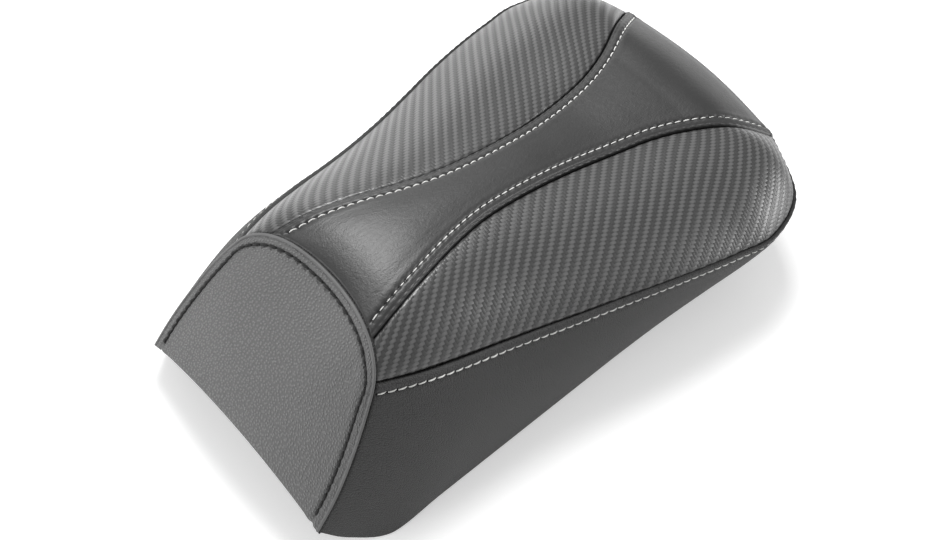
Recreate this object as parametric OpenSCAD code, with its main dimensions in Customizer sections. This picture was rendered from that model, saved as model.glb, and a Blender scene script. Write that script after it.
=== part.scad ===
// Passenger seat pad for a motorcycle, made to straddle the rear fender.
// X runs across the seat, +Y towards its rear, Z up. The origin is on the ground plane,
// under the middle of the pad. Units are millimetres.

/* [Pad] */
// Overall length of the upholstered pad
pad_length = 372; // [330:1:400]
// Overall width at the widest part, near the rear
pad_width = 225; // [200:1:250]
// Height from the side rails to the crown near the front
pad_height = 126; // [112:1:140]

/* [Cover] */
// Thickness of the upholstery vinyl with its backing
cover_t = 1.6; // [1.2:0.1:2.2]
// Distance from a seam to its topstitching
stitch_offset = 6.2; // [4:0.1:8]
// Thickness of the sewing thread
thread_d = 0.9; // [0.6:0.1:1.4]
// Thickness of the folded welt round the front panel
welt_d = 2.2; // [1.6:0.1:3]
// Width of the cover's turned-under hem
hem_w = 7.6; // [6:0.1:8]

/* [Base pan] */
// Wall thickness of the moulded pan
pan_t = 3.5; // [3:0.1:4]
// Radius of the arch that sits over the fender
arch_r = 183; // [170:1:220]
// Width of the two side rails
rail_w = 3; // [2.5:0.1:3.4]

/* [Brackets] */
// Thickness of the steel brackets
steel_t = 3; // [2.5:0.1:4]
// Width of the rear bracket
rear_tab_w = 32; // [28:1:40]
// Diameter of the rear bolt hole
bolt_hole_d = 8.5; // [6.5:0.1:9]
// Width of the front tongue
tongue_w = 44; // [36:1:60]
// Diameter of the rivet shanks
rivet_d = 4.8; // [4:0.1:5]

/* [Hidden] */

// The outline curves below are drawn for a pad of this width, length and height, then stretched.
drawn = [225, 372, 126];
stretch = [pad_width / drawn[0], pad_length / drawn[1], pad_height / drawn[2]];
function sized(list) = [for (p = list) [p[0] * stretch[0], p[1] * stretch[1], p[2] * stretch[2]]];
function sized_yz(list) = [for (p = list) [p[0] * stretch[1], p[1] * stretch[2]]];
fit_gap = 0.2;       // clearance between the cover and the foam
foam_gap = 0.4;      // clearance between the foam and the pan
round_to = 0.001;    // grid that shared points snap to

// Stations run from the front edge (first) to the rear corner (last).
// Crown line of the centre strip: y, z
crown_line = sized_yz([[-117, 121.5], [-98, 125.5], [-76, 124.5], [-52, 120.5], [-28, 115.5], [-4, 110],
  [20, 104.5], [45, 98.5], [71, 93.5], [96, 91], [121, 89], [147, 84.5], [181, 61]]);
// Upper seam, between the strip and a side panel: x, y, z
upper_seam = sized([[41.5, -124, 116.5], [36.5, -100, 121], [30.5, -76, 120], [24.5, -52, 116],
  [20.3, -28, 111.5], [19, -4, 106.3], [19.2, 20, 100.8], [20.7, 45, 95], [24, 71, 90],
  [28.8, 97, 87], [37, 121, 84.5], [49.5, 146, 80.5], [63, 173.5, 62]]);
// Lower seam, between a side panel and a skirt
lower_seam = sized([[56.5, -133, 102.6], [64, -109, 98], [69.5, -84, 92.5], [74, -60, 87], [79, -36, 82],
  [85, -11, 78], [91.5, 14, 75.5], [98.5, 40, 73], [104.5, 66, 69.5], [109.5, 93, 65],
  [112.5, 122, 60.5], [100, 153, 60], [63, 173.5, 62]]);
// Bottom edge of a skirt
hem_line = sized([[74, -186, 24], [83, -171.5, 11], [92.6, -149, 1], [92.6, -115, 1], [92.6, -83, 1],
  [92.6, -51, 1], [92.6, -19, 1], [92.6, 13, 1], [92.6, 45, 1], [92.6, 75, 1], [91, 105, 2],
  [85, 136, 9], [68, 162, 28]]);
// Edge of the front panel where a skirt starts, from the lower seam down to the hem
front_edge = sized([[56.5, -133, 102.6], [63.5, -146, 85], [69, -160, 63], [72.5, -173, 43], [74, -186, 24]]);
// Rear seam, from the corner where the other seams meet down to the hem
rear_seam = sized([[63, 173.5, 62], [67, 174, 51], [69, 170, 39], [68, 162, 28]]);
// Crown line of the strip down the rear: y, z
rear_crown = sized_yz([[181, 61], [184, 54], [183, 46], [178, 40]]);
// At each station: panel pillow, skirt pillow, and how square the strip's shoulders are
panel_pillow = [[2.2], [3.5], [5], [6.5], [7.5], [8.5], [9], [9.5], [10], [10.5], [10.5], [7], [0]];
skirt_pillow = [[0], [4], [5], [4.5], [4], [3.5], [3], [2.8], [2.8], [3], [3], [3], [0]];
strip_square = [[5], [3.5], [3], [2.5], [2.3], [2.2], [2.2], [2.2], [2.2], [2.3], [2.5], [2.6], [2.6]];
// How far down the skirts the foam reaches, at each station
foam_depth = [[0.9], [0.86], [0.82], [0.82], [0.82], [0.82], [0.82], [0.82], [0.82], [0.82], [0.82],
  [0.76], [0.7]];
stations = len(upper_seam) - 1;
hem_z = hem_line[3][2];   // the hem's height along the sides

rows = 30;           // grid rows from front to rear
drop_rows = 8;       // grid rows down the skirts, the front panel and the strip's rear
panel_cols = 6;      // grid columns across a side panel
strip_cols = 6;      // grid columns across half the strip
front_pillow = 3;

// ---- curves and surfaces ----

// Rounds a point to the grid, alike on both sides; the offset keeps round numbers off the halfway points
function to_grid(c) = round(c / round_to + 0.0137) * round_to;
function snap(p) = [sign(p[0]) * to_grid(abs(p[0])), to_grid(p[1]), to_grid(p[2])];
function unit(v) = v / norm(v);
function mix(a, b, t) = a * (1 - t) + b * t;

// Smooth curve through the points of list p, with t counted in points
function curve(p, t) =
  let (n = len(p), i = min(max(floor(t), 0), n - 2), f = t - i,
       b = p[i], c = p[i + 1],
       a = i > 0 ? p[i - 1] : 2 * b - c,
       d = i < n - 2 ? p[i + 2] : 2 * c - b)
  0.5 * (2 * b + (c - a) * f + (2 * a - 5 * b + 4 * c - d) * f * f + (3 * b - a - 3 * c + d) * f * f * f);

// Strip: u in stations (past the last one it runs down the rear), v from the crown (0) to the seam (1)
function strip_at(u, v, side) =
  let (r = min(max(u - stations, 0), 3),
       c = u > stations ? curve(rear_crown, r) : curve(crown_line, u),
       s = u > stations ? curve(rear_seam, r) : curve(upper_seam, u),
       k = curve(strip_square, min(u, stations))[0])
  snap([s[0] * v * side, c[0] + (s[1] - c[0]) * v * v, c[1] + (s[2] - c[1]) * pow(v, k)]);

// Side panel: v from the upper seam (0) to the lower seam (1), pillowed outwards
function panel_at(u, v, side) =
  let (a = curve(upper_seam, u), b = curve(lower_seam, u), k = min(max((u - 9) / 3, 0), 1),
       across = norm(b - a) > 0.1 ? unit([a[2] - b[2], 0, b[0] - a[0]]) : [0, 0, 1],
       out = unit(across * (1 - k) + [0.45, 0.55, 0.7] * k),
       p = mix(a, b, v) + out * (curve(panel_pillow, u)[0] * 4 * v * (1 - v)))
  snap([p[0] * side, p[1], p[2]]);

// Skirt: v from the lower seam (0) to the hem (1), fullest just under the seam
function skirt_at(u, v, side) =
  let (a = curve(lower_seam, u), b = curve(hem_line, u), w = u / stations, e = len(front_edge) - 1,
       front = curve(front_edge, v * e) - mix(front_edge[0], front_edge[e], v),
       rear = curve(rear_seam, v * 3) - mix(rear_seam[0], rear_seam[3], v),
       t = curve(hem_line, min(u + 0.05, stations)) - curve(hem_line, max(u - 0.05, 0)),
       out = unit([t[1], -t[0], 0]),
       p = mix(a, b, v) + front * pow(1 - w, 3) + rear * pow(w, 6)
         + out * (curve(skirt_pillow, u)[0] * 2.6 * sqrt(v) * (1 - v)))
  snap([p[0] * side, p[1], max(p[2], hem_z)]);

// Height of the arch over the fender above its springing, at the front panel's lower corners
arch_x = hem_line[0][0];
function arch(x) = sqrt(arch_r * arch_r - pow(min(abs(x), arch_x), 2)) - sqrt(arch_r * arch_r - arch_x * arch_x);

// Front panel: j from the middle (0), over the strip (to 1) and the side panel (to 2); v from top to hem
function front_top(j) = j > 1 ? panel_at(0, j - 1, 1) : strip_at(0, j, 1);
function front_at(j, v, side) =
  let (e = len(front_edge) - 1, foot = [arch_x * j / 2, hem_line[0][1], hem_line[0][2] + arch(arch_x * j / 2)],
       w = j * j / 4, edge = curve(front_edge, v * e) - mix(front_edge[0], front_edge[e], v),
       p = mix(front_top(j), foot, v) + edge * w + [0, -0.77, 0.64] * (front_pillow * 4 * v * (1 - v) * (1 - w)))
  snap([p[0] * side, p[1], p[2]]);

// Moves a surface point inwards by t, square to a smooth egg shape that the pad fills
egg = [pad_width / 2, pad_length / 2, 70];
egg_z = 28;          // height of its middle
function inward(p, t) =
  let (d = unit([p[0] / (egg[0] * egg[0]), p[1] / (egg[1] * egg[1]), (p[2] - egg_z) / (egg[2] * egg[2])]))
  snap(p - d * t);

// ---- grids of points and the solids made from them ----

function strip_grid(depth = 1) = [
  for (i = [0:rows + drop_rows]) [
    for (j = [-strip_cols:strip_cols])
      strip_at(i <= rows ? i * stations / rows : stations + 3 * depth * (i - rows) / drop_rows,
               abs(j) / strip_cols, sign(j))]];
function panel_grid(side) = [
  for (i = [0:rows]) [for (j = [0:panel_cols]) panel_at(i * stations / rows, j / panel_cols, side)]];
function skirt_grid(side, depth = [[1], [1]]) = [
  for (i = [0:rows]) [
    for (j = [0:drop_rows])
      skirt_at(i * stations / rows, j / drop_rows * curve(depth, i * (len(depth) - 1) / rows)[0], side)]];
front_cols = strip_cols + panel_cols;
function front_j(c) = c <= strip_cols ? c / strip_cols : 1 + (c - strip_cols) / panel_cols;
function front_grid(depth = 1) = [
  for (i = [0:drop_rows]) [
    for (c = [-front_cols:front_cols]) front_at(front_j(abs(c)), depth * i / drop_rows, sign(c))]];

function inset_grid(g, t) = [for (row = g) [for (p = row) inward(p, t)]];
function flat(g) = [for (row = g) each row];

// Triangles of a grid, without the ones that collapse where points meet
function grid_faces(g, first, flip) =
  let (n = len(g[0]))
  [for (i = [0:len(g) - 2], j = [0:n - 2], h = [0, 1])
    let (q = h == 0 ? [[i, j], [i, j + 1], [i + 1, j + 1]] : [[i, j], [i + 1, j + 1], [i + 1, j]],
         p = [for (k = q) g[k[0]][k[1]]], id = [for (k = q) first + k[0] * n + k[1]])
    if (p[0] != p[1] && p[1] != p[2] && p[2] != p[0]) flip ? id : [id[2], id[1], id[0]]];

// Closed sheet between an outer and an inner grid
module sheet(outer, inner, flip = false) {
  n = len(outer);
  m = len(outer[0]);
  both = n * m;
  loop = concat([for (j = [0:m - 2]) [0, j]], [for (i = [0:n - 2]) [i, m - 1]],
                [for (j = [m - 1:-1:1]) [n - 1, j]], [for (i = [n - 1:-1:1]) [i, 0]]);
  wall = [for (k = [0:len(loop) - 1])
    let (a = loop[k], b = loop[(k + 1) % len(loop)], ia = a[0] * m + a[1], ib = b[0] * m + b[1])
    if (outer[a[0]][a[1]] != outer[b[0]][b[1]])
      each flip ? [[ib, ia, both + ia], [ib, both + ia, both + ib]]
                : [[ia, ib, both + ib], [ia, both + ib, both + ia]]];
  polyhedron(concat(flat(outer), flat(inner)),
             concat(grid_faces(outer, 0, flip), grid_faces(inner, both, !flip), wall));
}
module cover_sheet(g, flip = false) sheet(g, inset_grid(g, cover_t), flip);

// Round cord of diameter d swept through a list of points, with blunt ends
cord_sides = 6;
function heading(p, i) = unit(p[min(i + 1, len(p) - 1)] - p[max(i - 1, 0)]);
module cord(p, d) {
  ring = [for (i = [0:len(p) - 1])
    let (t = heading(p, i), a = unit(cross(t, [0.05, 0.1, 1])), b = cross(a, t))
    each [for (k = [0:cord_sides - 1])
      p[i] + (a * cos(360 * k / cord_sides) + b * sin(360 * k / cord_sides)) * d / 2]];
  last = (len(p) - 1) * cord_sides;
  sides = [for (i = [0:len(p) - 2], k = [0:cord_sides - 1])
    let (a = i * cord_sides + k, b = i * cord_sides + (k + 1) % cord_sides)
    each [[a, b, b + cord_sides], [a, b + cord_sides, a + cord_sides]]];
  ends = [[for (k = [cord_sides - 1:-1:0]) k], [for (k = [0:cord_sides - 1]) last + k]];
  polyhedron(ring, concat(sides, ends));
}
function lift(p, t) = inward(p, -t);   // outwards

// ---- foam ----

// Underside of the pad, over the fender: arch in the middle, shoulders falling to the rails
shoulder = 1.5;
function under(x) =
  let (a = abs(x))
  a <= arch_x ? hem_line[0][2] + arch(a)
              : max(hem_line[0][2] - shoulder * (a - arch_x), 1 + (hem_line[3][0] - a) * 0.35);
hem_t = 1.3;                                   // hem and liner thickness under the pan
function wall_z(x) =
  let (a = min(abs(x), arch_x), flat_t = pan_t * arch_r / sqrt(arch_r * arch_r - a * a))
  abs(x) <= arch_x ? flat_t : mix(flat_t, pan_t * sqrt(1 + shoulder * shoulder), min((abs(x) - arch_x) / 5, 1));
function pan_low(x) = under(x) + hem_t + 0.1;
function pan_top(x) = pan_low(x) + wall_z(x);

module foam_core() {
  t = cover_t + fit_gap;
  strip = inset_grid(strip_grid(foam_depth[stations][0]), t);
  panel_l = inset_grid(panel_grid(1), t);
  panel_r = inset_grid(panel_grid(-1), t);
  skirt_l = inset_grid(skirt_grid(1, foam_depth), t);
  skirt_r = inset_grid(skirt_grid(-1, foam_depth), t);
  front = inset_grid(front_grid(foam_depth[0][0]), t);
  // underside: the front panel's last row, then rows across from hem to hem
  under_grid = concat([front[drop_rows]], [
    for (i = [1:rows])
      let (e = skirt_l[i][drop_rows])
      [for (c = [-front_cols:front_cols])
        abs(c) == front_cols ? [e[0] * sign(c), e[1], e[2]]
          : snap([e[0] * c / front_cols, e[1], max(pan_top(e[0] * c / front_cols) + foam_gap, e[2])])]]);
  grids = [strip, panel_l, panel_r, skirt_l, skirt_r, front, under_grid];
  turn = [false, false, true, false, true, true, true];
  count = [for (g = grids) len(g) * len(g[0])];
  first = [for (i = 0, n = 0; i < len(grids); n = n + count[i], i = i + 1) n];
  // the strip's last row has half as many points as the underside's last row
  s0 = first[0] + (rows + drop_rows) * (2 * strip_cols + 1);
  u0 = first[6] + rows * (2 * front_cols + 1);
  ends = 2 * strip_cols - 1;
  join_up = [for (k = [0:ends])
    each concat([[s0 + k, u0 + 2 * k + 1, s0 + k + 1]],
                k > 0 ? [[s0 + k, u0 + 2 * k, u0 + 2 * k + 1]] : [],
                k < ends ? [[s0 + k + 1, u0 + 2 * k + 1, u0 + 2 * k + 2]] : [])];
  color("khaki")
    polyhedron([for (g = grids) each flat(g)],
               concat([for (i = [0:len(grids) - 1]) each grid_faces(grids[i], first[i], turn[i])], join_up));
}

// ---- cover panels ----

module centre_strip() { color("dimgray") cover_sheet(strip_grid()); }
module side_panel(side) { cover_sheet(panel_grid(side), side < 0); }
module left_side_panel() { color("slategray") side_panel(1); }
module right_side_panel() { color("slategray") side_panel(-1); }
module skirt(side) { cover_sheet(skirt_grid(side), side < 0); }
module left_skirt() { color([0.2, 0.2, 0.21]) skirt(1); }
module right_skirt() { color([0.2, 0.2, 0.21]) skirt(-1); }
module front_panel() { color("gray") cover_sheet(front_grid(), true); }

// ---- welt and topstitching ----

// The front panel's outline from one lower corner, over the top, to the other
function side_points(v_top) = [for (k = [16:-1:0]) mix(v_top, 1, k / 16)];
edge_half = concat([for (v = side_points(0)) front_at(2, v, 1)],
                   [for (k = [23:-1:0]) let (p = front_top(k / 12)) snap(p)]);
function mirrored(p) = [-p[0], p[1], p[2]];
function both_halves(half) = concat(half, [for (k = [len(half) - 2:-1:0]) mirrored(half[k])]);
front_normal = [0, -0.77, 0.64];

module front_edge_welt() {
  color("gray") cord([for (p = both_halves(edge_half)) p + front_normal * (welt_d / 2 + 0.1)], welt_d);
}

stitch_lift = thread_d / 2 + 0.45;
module upper_stitching(side) {
  color("white")
    cord([for (u = [0.1:0.25:stations + 2.8])
      let (w = abs(strip_at(u, 1, 1)[0])) lift(strip_at(u, 1 - stitch_offset / w, side), stitch_lift)], thread_d);
}
module left_upper_stitching() { upper_stitching(1); }
module right_upper_stitching() { upper_stitching(-1); }

module lower_stitching(side) {
  color("white")
    cord([for (u = [0.15:0.2:stations - 0.1])
      let (drop = norm(curve(hem_line, u) - curve(lower_seam, u)))
      lift(skirt_at(u, 0.8 * stitch_offset / drop, side), stitch_lift)], thread_d);
}
module left_lower_stitching() { lower_stitching(1); }
module right_lower_stitching() { lower_stitching(-1); }

// Inside the front panel's edge: up the side, round the shoulder and over the top
front_row_half = concat(
  [for (v = side_points(0.2)) front_at(2 * (1 - stitch_offset / front_at(2, v, 1)[0]), v, 1)],
  [for (k = [16:-1:0]) let (j = 1.65 * k / 16, h = norm(front_top(j) - front_at(j, 1, 1)))
    front_at(j, stitch_offset / h * (1 + 0.7 * pow(k / 16, 6)), 1)]);
module front_stitching() {
  color([0.05, 0.05, 0.05])
    cord([for (p = both_halves(front_row_half)) p + front_normal * (thread_d / 2 + 0.25)], thread_d);
}

// ---- base pan ----

// Plan of the pad's bottom, drawn in by d(u) at station u and by d_rear across the rear
function hem_in(u, d) =
  let (p = curve(hem_line, u), t = curve(hem_line, min(u + 0.05, stations)) - curve(hem_line, max(u - 0.05, 0)),
       n = unit([t[1], -t[0]]))
  [p[0] - n[0] * d, p[1] - n[1] * d];
function rear_in(c, d) =
  let (e = hem_in(stations, d), top = rear_crown[len(rear_crown) - 1][0] - d)
  [e[0] * c, e[1] + (top - e[1]) * (1 - c * c)];
module plan(d, extra = 0, front_in = 3) {
  side = [for (u = [0:0.25:stations]) hem_in(u, d + extra * max(0, 1 - u / 2))];
  rear = [for (k = [7:-1:-7]) rear_in(k / 8, d)];
  intersection() {
    polygon(concat(side, rear, [for (k = [len(side) - 1:-1:0]) [-side[k][0], side[k][1]]]));
    translate([-pad_width / 2, hem_line[0][1] + front_in]) square([pad_width, pad_length]);
  }
}

// Upright prism over the plan, tall enough to cut any arched sheet
module prism(d, extra = 0, front_in = 3) {
  linear_extrude(pad_height) plan(d, extra, front_in);
}

// Sheet that follows the arch between two heights over it, from y0 to y1 and out to x = reach
arch_steps = 10;
module arched(low, high, y0, y1, reach) {
  xs = concat([for (k = [0:arch_steps]) -arch_x + 2 * arch_x * k / arch_steps]);
  over = [for (x = [arch_x + 3:3:reach]) x];
  all_x = reach > arch_x ? concat([for (k = [len(over) - 1:-1:0]) -over[k]], xs, over)
                         : [for (k = [0:arch_steps]) -reach + 2 * reach * k / arch_steps];
  translate([0, y1, 0]) rotate([90, 0, 0]) linear_extrude(y1 - y0)
    polygon(concat([for (x = all_x) [x, low(x)]], [for (k = [len(all_x) - 1:-1:0]) [all_x[k], high(all_x[k])]]));
}

pan_reach = arch_x + 18;
rear_end = rear_crown[len(rear_crown) - 1][0];
front_end = hem_line[0][1];
rail_x = hem_line[3][0] - 2.8 - hem_w - 0.4;   // outer face of a rail
rail_y = [hem_line[2][1] + 2, hem_line[9][1] + 15];
rail_top = pan_low(rail_x) + 5;

// Where the rivets go: x, y
tongue_rivets = [for (x = [-13, 13], y = [-142, -120]) [x, y]];
tab_rivets = [for (x = [-8, 8], y = [118, 138]) [x, y]];
head_d = 9.2;
head_t = 1.2;
function rivet_seat(x) = pan_top(abs(x) + head_d / 2) - head_t;   // bottom of the counterbore

module base_pan() {
  color([0.12, 0.12, 0.13])
    difference() {
      union() {
        intersection() {
          arched(function(x) pan_low(x), function(x) pan_top(x), front_end, rear_end + 5, pan_reach);
          prism(3, 5, 7.5);
        }
        for (side = [-1, 1])
          translate([side > 0 ? rail_x - rail_w : -rail_x, rail_y[0], 0])
            cube([rail_w, rail_y[1] - rail_y[0], rail_top]);
      }
      for (p = concat(tongue_rivets, tab_rivets)) translate([p[0], p[1], 0]) {
        cylinder(d = rivet_d, h = pad_height, $fn = 48);
        translate([0, 0, rivet_seat(p[0])]) cylinder(d = head_d, h = pad_height, $fn = 48);
      }
    }
}

module cover_hem() {
  color([0.2, 0.2, 0.21])
    intersection() {
      arched(function(x) pan_low(x) - hem_t, function(x) pan_low(x) - 0.05, front_end, rear_end + 5, pan_reach);
      difference() {
        prism(2.8);
        translate([0, 0, -1]) linear_extrude(pad_height + 2) plan(2.8 + hem_w, 0, 3 + hem_w);
      }
    }
}

// Staple crowns lie on the hem, along its run
staple = [9, 1.1, 0.6];
staple_in = 2.8 + hem_w / 2;
module staple_at(p, ahead) {
  x = p[0];
  slope = (under(x + 0.5) - under(x - 0.5));
  n = unit([-slope, 0, 1]);
  t0 = unit([ahead[0], ahead[1], slope * ahead[0]]);
  b = cross(n, t0);
  c = [p[0], p[1], pan_low(x) - hem_t] - n * (staple[2] / 2 + 0.15);
  multmatrix([[t0[0], b[0], n[0], c[0]], [t0[1], b[1], n[1], c[1]], [t0[2], b[2], n[2], c[2]], [0, 0, 0, 1]])
    cube(staple, center = true);
}
module hem_staples() {
  color("silver") {
    for (side = [-1, 1], k = [0:11]) {
      u = 0.7 + k * 0.98;
      p = hem_in(u, staple_in);
      t = unit(hem_in(u + 0.05, staple_in) - p);
      staple_at([p[0] * side, p[1]], [t[0] * side, t[1]]);
    }
    for (k = [-2:2]) staple_at([k * 28, front_end + 3 + hem_w / 2], [1, 0]);
    for (k = [-2:2]) {
      p = rear_in(k / 2.8, staple_in);
      staple_at(p, unit(rear_in(k / 2.8 + 0.02, staple_in) - p));
    }
  }
}

// Soft lining and rubber pads glued inside the arch
liner_x = 60;
pad_x = [42, 57];                               // inner and outer edge of a rubber pad
pad_y = [[-150, -92], [62, 120]];
pad_t = 6;
module fender_liner() {
  color([0.3, 0.3, 0.3])
    difference() {
      arched(function(x) pan_low(x) - hem_t, function(x) pan_low(x) - 0.05, front_end + 14, rear_end - 18, liner_x);
      for (side = [-1, 1], y = pad_y)
        translate([side > 0 ? pad_x[0] - 1 : -pad_x[1] - 1, y[0] - 1, 0])
          cube([pad_x[1] - pad_x[0] + 2, y[1] - y[0] + 2, pad_height]);
      translate([-tongue_w / 2 - 1, front_end, 0]) cube([tongue_w + 2, tongue_pad[1] - front_end + 2, pad_height]);
      translate([-rear_tab_w / 2 - 1, tab_pad[0] - 2, 0]) cube([rear_tab_w + 2, pad_length, pad_height]);
    }
}
module fender_pads() {
  color([0.07, 0.07, 0.07])
    for (side = [-1, 1], y = pad_y)
      difference() {
        intersection() {
          arched(function(x) pan_low(x) - 0.05 - pad_t, function(x) pan_low(x) - 0.05, y[0], y[1], pad_x[1] + 3);
          translate([side > 0 ? pad_x[0] : -pad_x[1], y[0], 0])
            cube([pad_x[1] - pad_x[0], y[1] - y[0], pad_height]);
        }
        // grip grooves across the pad
        for (g = [y[0] + 6:8:y[1] - 4])
          translate([-pad_width / 2, g, 0]) cube([pad_width, 2, pan_low(pad_x[1]) - pad_t + 0.5]);
      }
}

// ---- brackets ----

tongue_pad = [-154, -108];                      // the riveted part of the tongue, in y
tongue_tip = -180;
tongue_drop = 10;                               // how far the tip is stepped down
tongue_z = pan_low(tongue_w / 2) - 0.1;         // top of the riveted part
module front_tongue() {
  z = tongue_z;
  color("silver")
    difference() {
      translate([tongue_w / 2, 0, 0]) rotate([90, 0, -90]) linear_extrude(tongue_w)
        polygon([for (p = [[tongue_pad[1], z], [tongue_pad[0], z], [tongue_pad[0] - 10, z - tongue_drop],
                           [tongue_tip + 2, z - tongue_drop], [tongue_tip, z - tongue_drop - 1.5],
                           [tongue_tip + 1, z - tongue_drop - steel_t], [tongue_pad[0] - 10 + 1.2, z - tongue_drop - steel_t],
                           [tongue_pad[0] + 1.2, z - steel_t], [tongue_pad[1], z - steel_t]]) [-p[0], p[1]]]);
      for (p = tongue_rivets) translate([p[0], p[1], 0]) cylinder(d = rivet_d, h = pad_height, $fn = 48);
    }
}

tab_pad = [106, 152];                           // the riveted part of the rear bracket, in y
tab_z = pan_low(rear_tab_w / 2) - 0.1;
tab_fall = 45;                                  // how steeply the tab turns down
tab_tip = pad_length / 2 + 1.8;                 // as far back as the welt stands forward
tab_run = (tab_tip - tab_pad[1]) / cos(tab_fall) - rear_tab_w / 2;   // bend to bolt hole
module rear_bracket() {
  color("silver")
    difference() {
      union() {
        translate([-rear_tab_w / 2, tab_pad[0], tab_z - steel_t]) cube([rear_tab_w, tab_pad[1] - tab_pad[0], steel_t]);
        translate([0, tab_pad[1], tab_z]) rotate([-tab_fall, 0, 0]) translate([0, 0, -steel_t])
          linear_extrude(steel_t) {
            translate([-rear_tab_w / 2, 0]) square([rear_tab_w, tab_run]);
            translate([0, tab_run]) circle(d = rear_tab_w, $fn = 96);
          }
      }
      translate([0, tab_pad[1], tab_z]) rotate([-tab_fall, 0, 0]) translate([0, tab_run, -2 * steel_t])
        cylinder(d = bolt_hole_d, h = 3 * steel_t, $fn = 64);
      for (p = tab_rivets) translate([p[0], p[1], 0]) cylinder(d = rivet_d, h = pad_height, $fn = 48);
    }
}

// Rivet through a bracket and the pan: flat head in the pan's counterbore, round head below
module rivet(p, bracket_low) {
  seat = rivet_seat(p[0]);
  translate([p[0], p[1], 0]) {
    translate([0, 0, bracket_low]) cylinder(d = rivet_d, h = seat - bracket_low, $fn = 48);
    translate([0, 0, seat]) cylinder(d = head_d - 0.2, h = head_t - 0.1, $fn = 48);
    translate([0, 0, bracket_low]) rotate([180, 0, 0])
      rotate_extrude($fn = 48) polygon([[0, 0], [head_d / 2, 0], [head_d / 2 - 0.4, 0.9], [head_d / 2 - 1.6, 1.8], [0, 2.2]]);
  }
}
module front_tongue_rivets() { color("gainsboro") for (p = tongue_rivets) rivet(p, tongue_z - steel_t); }
module rear_bracket_rivets() { color("gainsboro") for (p = tab_rivets) rivet(p, tab_z - steel_t); }

foam_core();
centre_strip();
left_side_panel();
right_side_panel();
left_skirt();
right_skirt();
front_panel();
front_edge_welt();
left_upper_stitching();
right_upper_stitching();
left_lower_stitching();
right_lower_stitching();
front_stitching();
base_pan();
cover_hem();
hem_staples();
fender_liner();
fender_pads();
front_tongue();
front_tongue_rivets();
rear_bracket();
rear_bracket_rivets();
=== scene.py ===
import math

import bmesh
import bpy
import numpy as np
from mathutils import Matrix, Vector
from mathutils.bvhtree import BVHTree
from mathutils.kdtree import KDTree


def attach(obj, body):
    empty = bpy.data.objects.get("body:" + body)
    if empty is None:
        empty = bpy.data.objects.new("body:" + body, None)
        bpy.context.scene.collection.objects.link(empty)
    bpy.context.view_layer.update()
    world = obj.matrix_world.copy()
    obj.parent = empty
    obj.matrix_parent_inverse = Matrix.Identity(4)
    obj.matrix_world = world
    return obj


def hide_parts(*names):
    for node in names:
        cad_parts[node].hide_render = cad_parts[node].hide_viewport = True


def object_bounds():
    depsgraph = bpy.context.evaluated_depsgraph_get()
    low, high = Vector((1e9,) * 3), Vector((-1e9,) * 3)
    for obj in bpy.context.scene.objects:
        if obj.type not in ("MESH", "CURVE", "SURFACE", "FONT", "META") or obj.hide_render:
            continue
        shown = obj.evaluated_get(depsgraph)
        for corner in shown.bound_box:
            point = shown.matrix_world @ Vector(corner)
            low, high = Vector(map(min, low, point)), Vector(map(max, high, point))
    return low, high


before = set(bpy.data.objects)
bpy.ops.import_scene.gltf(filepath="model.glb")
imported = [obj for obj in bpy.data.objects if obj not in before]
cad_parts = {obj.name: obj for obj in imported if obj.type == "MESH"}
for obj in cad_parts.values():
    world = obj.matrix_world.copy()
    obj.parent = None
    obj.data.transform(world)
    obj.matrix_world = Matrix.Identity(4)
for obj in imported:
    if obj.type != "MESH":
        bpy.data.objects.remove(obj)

cad_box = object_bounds()
scene = bpy.context.scene
MM = 0.001


# ---- camera ----
# The pad is seen from in front and above, a little to its left side, with the camera tipped
# a few degrees. A longish lens keeps the taper of the pad close to its true plan.

EYE = Vector((0.3214, -0.3609, 0.7749))
LOOK = Vector((-0.3579, 0.3927, -0.8472))
TIPPED = math.radians(7.1)

camera = bpy.data.objects.new("camera", bpy.data.cameras.new("camera"))
camera.data.lens = 56.68
camera.data.sensor_width = 36
camera.data.clip_start = 0.01
camera.data.clip_end = 20
facing = LOOK.to_track_quat("-Z", "Y").to_matrix().to_4x4()
camera.matrix_world = Matrix.Translation(EYE) @ facing @ Matrix.Rotation(TIPPED, 4, "Z")
scene.collection.objects.link(camera)
scene.camera = camera


# ---- studio ----
# A pale sweep lies under the pad. A small softbox close above its front half gives the strip its
# highlight, and three weaker ones stand low behind it, to its right side and in front of it.


class Link:
    """One output of a node. Arithmetic on it adds Math nodes to the same tree."""

    def __init__(self, tree, socket):
        self.tree, self.socket = tree, socket

    def math(self, operation, *others):
        values = dict(enumerate((self, *others)))
        return self.tree.add("ShaderNodeMath", {"operation": operation}, values)

    def __add__(self, other):
        return self.math("ADD", other)

    def __sub__(self, other):
        return self.math("SUBTRACT", other)

    def __mul__(self, other):
        return self.math("MULTIPLY", other)

    def __truediv__(self, other):
        return self.math("DIVIDE", other)

    def __mod__(self, other):
        return self.math("FLOORED_MODULO", other)

    def __lt__(self, other):
        return self.math("LESS_THAN", other)

    def __neg__(self):
        return self.math("MULTIPLY", -1)

    def __rsub__(self, other):
        return -self + other

    __radd__, __rmul__ = __add__, __mul__

    def rise(self, low, high):
        """0 below low, 1 above high, and smooth between."""
        return self.tree.add(
            "ShaderNodeMapRange",
            {"interpolation_type": "SMOOTHSTEP"},
            {"Value": self, "From Min": low, "From Max": high},
        )


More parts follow.
